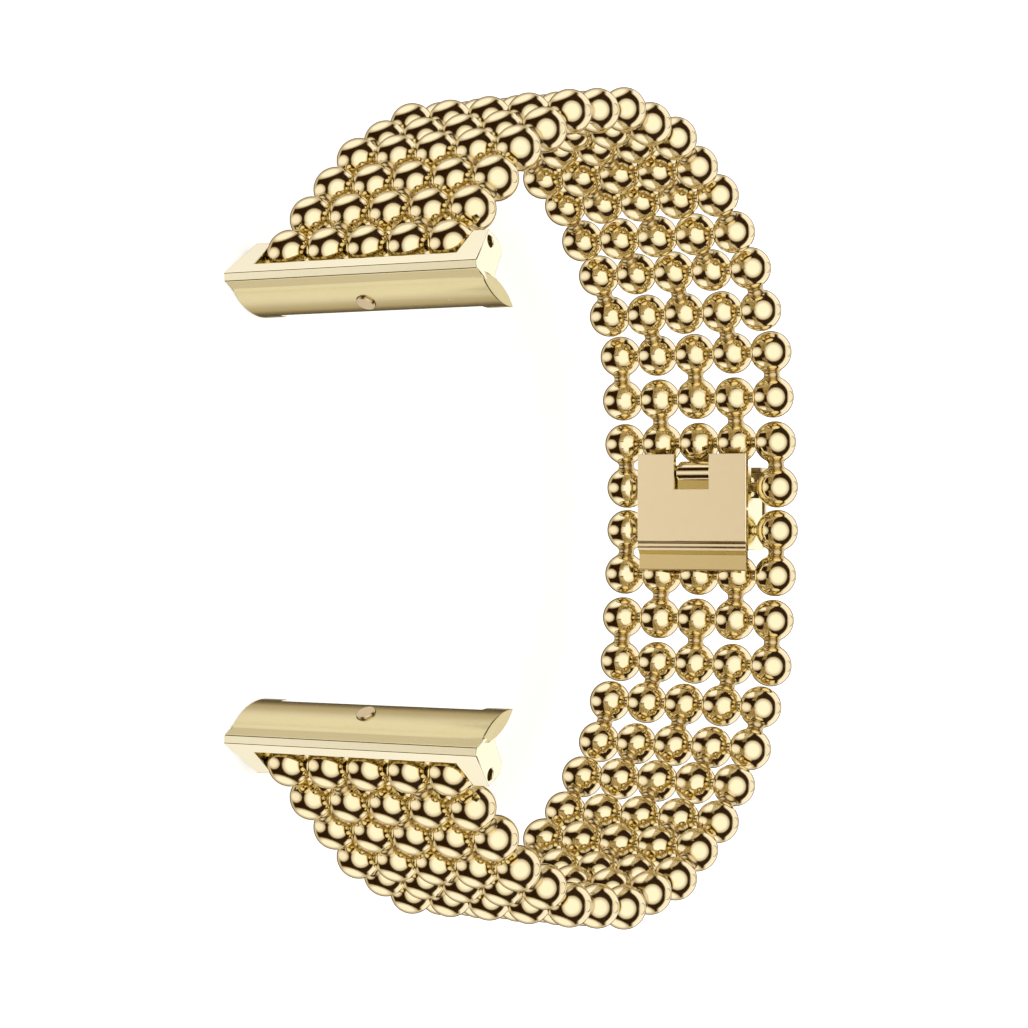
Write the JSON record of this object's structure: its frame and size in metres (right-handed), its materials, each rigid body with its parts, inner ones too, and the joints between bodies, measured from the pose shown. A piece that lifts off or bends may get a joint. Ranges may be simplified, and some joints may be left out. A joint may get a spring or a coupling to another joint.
{
  "type": "bead watch bracelet",
  "caption": "Gold bead bracelet for a smart watch: rows of double-ball links on cross pins, slide-in lugs and a fold-over hook clasp.",
  "frame": {"origin": "middle of the bracelet's box, on the surface that the feet of its two lugs stand on", "axes": "the closed loop lies on its side: the rows of beads stand along +Z, the clasp is at +Y, the two lugs are at -Y, and the strand that hooks into the clasp is at -X"},
  "size_m": [0.081, 0.062, 0.029],
  "materials": {
    "bead_gold": "mirror-polished gold plating",
    "polished_gold": "polished gold plating",
    "lug_gold": "mirror-polished pale gold plating",
    "satin_plate": "satin gold plating, brushed along the rows",
    "pin_steel": "gold-toned steel"
  },
  "bodies": {
    "clasp": {"clasp_base": "satin_plate", "clasp_hook": "polished_gold", "cover_pin": "pin_steel"},
    "cover": {"clasp_cover": "polished_gold"},
    "catch": {"catch_frame": "polished_gold", "catch_bar": "polished_gold"},
    "catch_links_18": {"catch_links_18": "bead_gold"},
    "catch_links_17": {"catch_links_17": "bead_gold"},
    "catch_links_16": {"catch_links_16": "bead_gold"},
    "catch_links_15": {"catch_links_15": "bead_gold"},
    "catch_links_14": {"catch_links_14": "bead_gold"},
    "catch_links_13": {"catch_links_13": "bead_gold"},
    "catch_links_12": {"catch_links_12": "bead_gold"},
    "catch_links_11": {"catch_links_11": "bead_gold"},
    "catch_links_10": {"catch_links_10": "bead_gold"},
    "catch_links_09": {"catch_links_09": "bead_gold"},
    "catch_links_08": {"catch_links_08": "bead_gold"},
    "catch_links_07": {"catch_links_07": "bead_gold"},
    "catch_links_06": {"catch_links_06": "bead_gold"},
    "catch_links_05": {"catch_links_05": "bead_gold"},
    "catch_links_04": {"catch_links_04": "bead_gold"},
    "catch_links_03": {"catch_links_03": "bead_gold"},
    "catch_links_02": {"catch_links_02": "bead_gold"},
    "catch_links_01": {"catch_links_01": "bead_gold"},
    "catch_lug": {"catch_lug": "lug_gold", "catch_lug_pin": "pin_steel", "catch_lug_beads": "bead_gold", "catch_latch_spring": "pin_steel"},
    "catch_latch": {"catch_latch": "pin_steel"},
    "cover_links_18": {"cover_links_18": "bead_gold"},
    "cover_links_17": {"cover_links_17": "bead_gold"},
    "cover_links_16": {"cover_links_16": "bead_gold"},
    "cover_links_15": {"cover_links_15": "bead_gold"},
    "cover_links_14": {"cover_links_14": "bead_gold"},
    "cover_links_13": {"cover_links_13": "bead_gold"},
    "cover_links_12": {"cover_links_12": "bead_gold"},
    "cover_links_11": {"cover_links_11": "bead_gold"},
    "cover_links_10": {"cover_links_10": "bead_gold"},
    "cover_links_09": {"cover_links_09": "bead_gold"},
    "cover_links_08": {"cover_links_08": "bead_gold"},
    "cover_links_07": {"cover_links_07": "bead_gold"},
    "cover_links_06": {"cover_links_06": "bead_gold"},
    "cover_links_05": {"cover_links_05": "bead_gold"},
    "cover_links_04": {"cover_links_04": "bead_gold"},
    "cover_links_03": {"cover_links_03": "bead_gold"},
    "cover_links_02": {"cover_links_02": "bead_gold"},
    "cover_links_01": {"cover_links_01": "bead_gold"},
    "cover_lug": {"cover_lug": "lug_gold", "cover_lug_pin": "pin_steel", "cover_lug_beads": "bead_gold", "cover_latch_spring": "pin_steel"},
    "cover_latch": {"cover_latch": "pin_steel"}
  },
  "joints": [
    {"name": "catch_release", "type": "slide", "parent": "clasp", "child": "catch", "axis": [0, 1, 0], "range_m": [0, 0.0035]},
    {"name": "cover_swing", "type": "hinge", "parent": "clasp", "child": "cover", "pos_m": [0.0036, 0.03025, 0.0154], "axis": [0, 0, -1], "range_deg": [0, 110]},
    {"name": "catch_row_19", "type": "hinge", "parent": "catch", "child": "catch_links_18", "pos_m": [-0.00225, 0.0288, 0.0145], "axis": [0, 0, -1], "range_deg": [-3, 20]},
    {"name": "catch_row_18", "type": "hinge", "parent": "catch_links_18", "child": "catch_links_17", "pos_m": [-0.00688, 0.0284, 0.0145], "axis": [0, 0, -1], "range_deg": [-8, 20]},
    {"name": "catch_row_17", "type": "hinge", "parent": "catch_links_17", "child": "catch_links_16", "pos_m": [-0.01151, 0.02795, 0.0145], "axis": [0, 0, -1], "range_deg": [-8, 20]},
    {"name": "catch_row_16", "type": "hinge", "parent": "catch_links_16", "child": "catch_links_15", "pos_m": [-0.01614, 0.02751, 0.0145], "axis": [0, 0, -1], "range_deg": [-8, 20]},
    {"name": "catch_row_15", "type": "hinge", "parent": "catch_links_15", "child": "catch_links_14", "pos_m": [-0.02032, 0.02547, 0.0145], "axis": [0, 0, -1], "range_deg": [-8, 20]},
    {"name": "catch_row_14", "type": "hinge", "parent": "catch_links_14", "child": "catch_links_13", "pos_m": [-0.0245, 0.02343, 0.0145], "axis": [0, 0, -1], "range_deg": [-8, 20]},
    {"name": "catch_row_13", "type": "hinge", "parent": "catch_links_13", "child": "catch_links_12", "pos_m": [-0.02795, 0.02032, 0.0145], "axis": [0, 0, -1], "range_deg": [-8, 20]},
    {"name": "catch_row_12", "type": "hinge", "parent": "catch_links_12", "child": "catch_links_11", "pos_m": [-0.03141, 0.01721, 0.0145], "axis": [0, 0, -1], "range_deg": [-8, 20]},
    {"name": "catch_row_11", "type": "hinge", "parent": "catch_links_11", "child": "catch_links_10", "pos_m": [-0.03391, 0.01329, 0.0145], "axis": [0, 0, -1], "range_deg": [-8, 20]},
    {"name": "catch_row_10", "type": "hinge", "parent": "catch_links_10", "child": "catch_links_09", "pos_m": [-0.03641, 0.00936, 0.0145], "axis": [0, 0, -1], "range_deg": [-8, 20]},
    {"name": "catch_row_09", "type": "hinge", "parent": "catch_links_09", "child": "catch_links_08", "pos_m": [-0.03737, 0.00482, 0.0145], "axis": [0, 0, -1], "range_deg": [-8, 20]},
    {"name": "catch_row_08", "type": "hinge", "parent": "catch_links_08", "child": "catch_links_07", "pos_m": [-0.03834, 0.00027, 0.0145], "axis": [0, 0, -1], "range_deg": [-8, 20]},
    {"name": "catch_row_07", "type": "hinge", "parent": "catch_links_07", "child": "catch_links_06", "pos_m": [-0.03777, -0.00435, 0.0145], "axis": [0, 0, -1], "range_deg": [-8, 20]},
    {"name": "catch_row_06", "type": "hinge", "parent": "catch_links_06", "child": "catch_links_05", "pos_m": [-0.03721, -0.00896, 0.0145], "axis": [0, 0, -1], "range_deg": [-8, 20]},
    {"name": "catch_row_05", "type": "hinge", "parent": "catch_links_05", "child": "catch_links_04", "pos_m": [-0.03513, -0.01312, 0.0145], "axis": [0, 0, -1], "range_deg": [-8, 20]},
    {"name": "catch_row_04", "type": "hinge", "parent": "catch_links_04", "child": "catch_links_03", "pos_m": [-0.03306, -0.01729, 0.0145], "axis": [0, 0, -1], "range_deg": [-8, 20]},
    {"name": "catch_row_03", "type": "hinge", "parent": "catch_links_03", "child": "catch_links_02", "pos_m": [-0.03001, -0.0208, 0.0145], "axis": [0, 0, -1], "range_deg": [-8, 20]},
    {"name": "catch_row_02", "type": "hinge", "parent": "catch_links_02", "child": "catch_links_01", "pos_m": [-0.02696, -0.02431, 0.0145], "axis": [0, 0, -1], "range_deg": [-8, 20]},
    {"name": "catch_row_01", "type": "hinge", "parent": "catch_links_01", "child": "catch_lug", "pos_m": [-0.02361, -0.02754, 0.0145], "axis": [0, 0, -1], "range_deg": [-20, 45]},
    {"name": "catch_latch_press", "type": "slide", "parent": "catch_lug", "child": "catch_latch", "axis": [-0.8607, 0.509, 0], "range_m": [0, 0.0003], "stiffness_N_per_m": 400, "springref_m": -0.0005, "deforming": ["catch_latch_spring"]},
    {"name": "cover_row_19", "type": "hinge", "parent": "clasp", "child": "cover_links_18", "pos_m": [0.00225, 0.0288, 0.0145], "axis": [0, 0, -1], "range_deg": [-20, 3]},
    {"name": "cover_row_18", "type": "hinge", "parent": "cover_links_18", "child": "cover_links_17", "pos_m": [0.00688, 0.0284, 0.0145], "axis": [0, 0, -1], "range_deg": [-20, 8]},
    {"name": "cover_row_17", "type": "hinge", "parent": "cover_links_17", "child": "cover_links_16", "pos_m": [0.01151, 0.02795, 0.0145], "axis": [0, 0, -1], "range_deg": [-20, 8]},
    {"name": "cover_row_16", "type": "hinge", "parent": "cover_links_16", "child": "cover_links_15", "pos_m": [0.01614, 0.02751, 0.0145], "axis": [0, 0, -1], "range_deg": [-20, 8]},
    {"name": "cover_row_15", "type": "hinge", "parent": "cover_links_15", "child": "cover_links_14", "pos_m": [0.02032, 0.02547, 0.0145], "axis": [0, 0, -1], "range_deg": [-20, 8]},
    {"name": "cover_row_14", "type": "hinge", "parent": "cover_links_14", "child": "cover_links_13", "pos_m": [0.0245, 0.02343, 0.0145], "axis": [0, 0, -1], "range_deg": [-20, 8]},
    {"name": "cover_row_13", "type": "hinge", "parent": "cover_links_13", "child": "cover_links_12", "pos_m": [0.02795, 0.02032, 0.0145], "axis": [0, 0, -1], "range_deg": [-20, 8]},
    {"name": "cover_row_12", "type": "hinge", "parent": "cover_links_12", "child": "cover_links_11", "pos_m": [0.03141, 0.01721, 0.0145], "axis": [0, 0, -1], "range_deg": [-20, 8]},
    {"name": "cover_row_11", "type": "hinge", "parent": "cover_links_11", "child": "cover_links_10", "pos_m": [0.03391, 0.01329, 0.0145], "axis": [0, 0, -1], "range_deg": [-20, 8]},
    {"name": "cover_row_10", "type": "hinge", "parent": "cover_links_10", "child": "cover_links_09", "pos_m": [0.03641, 0.00936, 0.0145], "axis": [0, 0, -1], "range_deg": [-20, 8]},
    {"name": "cover_row_09", "type": "hinge", "parent": "cover_links_09", "child": "cover_links_08", "pos_m": [0.03737, 0.00482, 0.0145], "axis": [0, 0, -1], "range_deg": [-20, 8]},
    {"name": "cover_row_08", "type": "hinge", "parent": "cover_links_08", "child": "cover_links_07", "pos_m": [0.03834, 0.00027, 0.0145], "axis": [0, 0, -1], "range_deg": [-20, 8]},
    {"name": "cover_row_07", "type": "hinge", "parent": "cover_links_07", "child": "cover_links_06", "pos_m": [0.03777, -0.00435, 0.0145], "axis": [0, 0, -1], "range_deg": [-20, 8]},
    {"name": "cover_row_06", "type": "hinge", "parent": "cover_links_06", "child": "cover_links_05", "pos_m": [0.03721, -0.00896, 0.0145], "axis": [0, 0, -1], "range_deg": [-20, 8]},
    {"name": "cover_row_05", "type": "hinge", "parent": "cover_links_05", "child": "cover_links_04", "pos_m": [0.03513, -0.01312, 0.0145], "axis": [0, 0, -1], "range_deg": [-20, 8]},
    {"name": "cover_row_04", "type": "hinge", "parent": "cover_links_04", "child": "cover_links_03", "pos_m": [0.03306, -0.01729, 0.0145], "axis": [0, 0, -1], "range_deg": [-20, 8]},
    {"name": "cover_row_03", "type": "hinge", "parent": "cover_links_03", "child": "cover_links_02", "pos_m": [0.03001, -0.0208, 0.0145], "axis": [0, 0, -1], "range_deg": [-20, 8]},
    {"name": "cover_row_02", "type": "hinge", "parent": "cover_links_02", "child": "cover_links_01", "pos_m": [0.02696, -0.02431, 0.0145], "axis": [0, 0, -1], "range_deg": [-20, 8]},
    {"name": "cover_row_01", "type": "hinge", "parent": "cover_links_01", "child": "cover_lug", "pos_m": [0.02361, -0.02754, 0.0145], "axis": [0, 0, -1], "range_deg": [-45, 20]},
    {"name": "cover_latch_press", "type": "slide", "parent": "cover_lug", "child": "cover_latch", "axis": [0.8607, 0.509, 0], "range_m": [0, 0.0003], "stiffness_N_per_m": 400, "springref_m": -0.0005, "deforming": ["cover_latch_spring"]}
  ],
  "couplings": [
    {"joint": "cover_swing", "follows": "catch_release", "rad_per_m": 548.53}
  ]
}
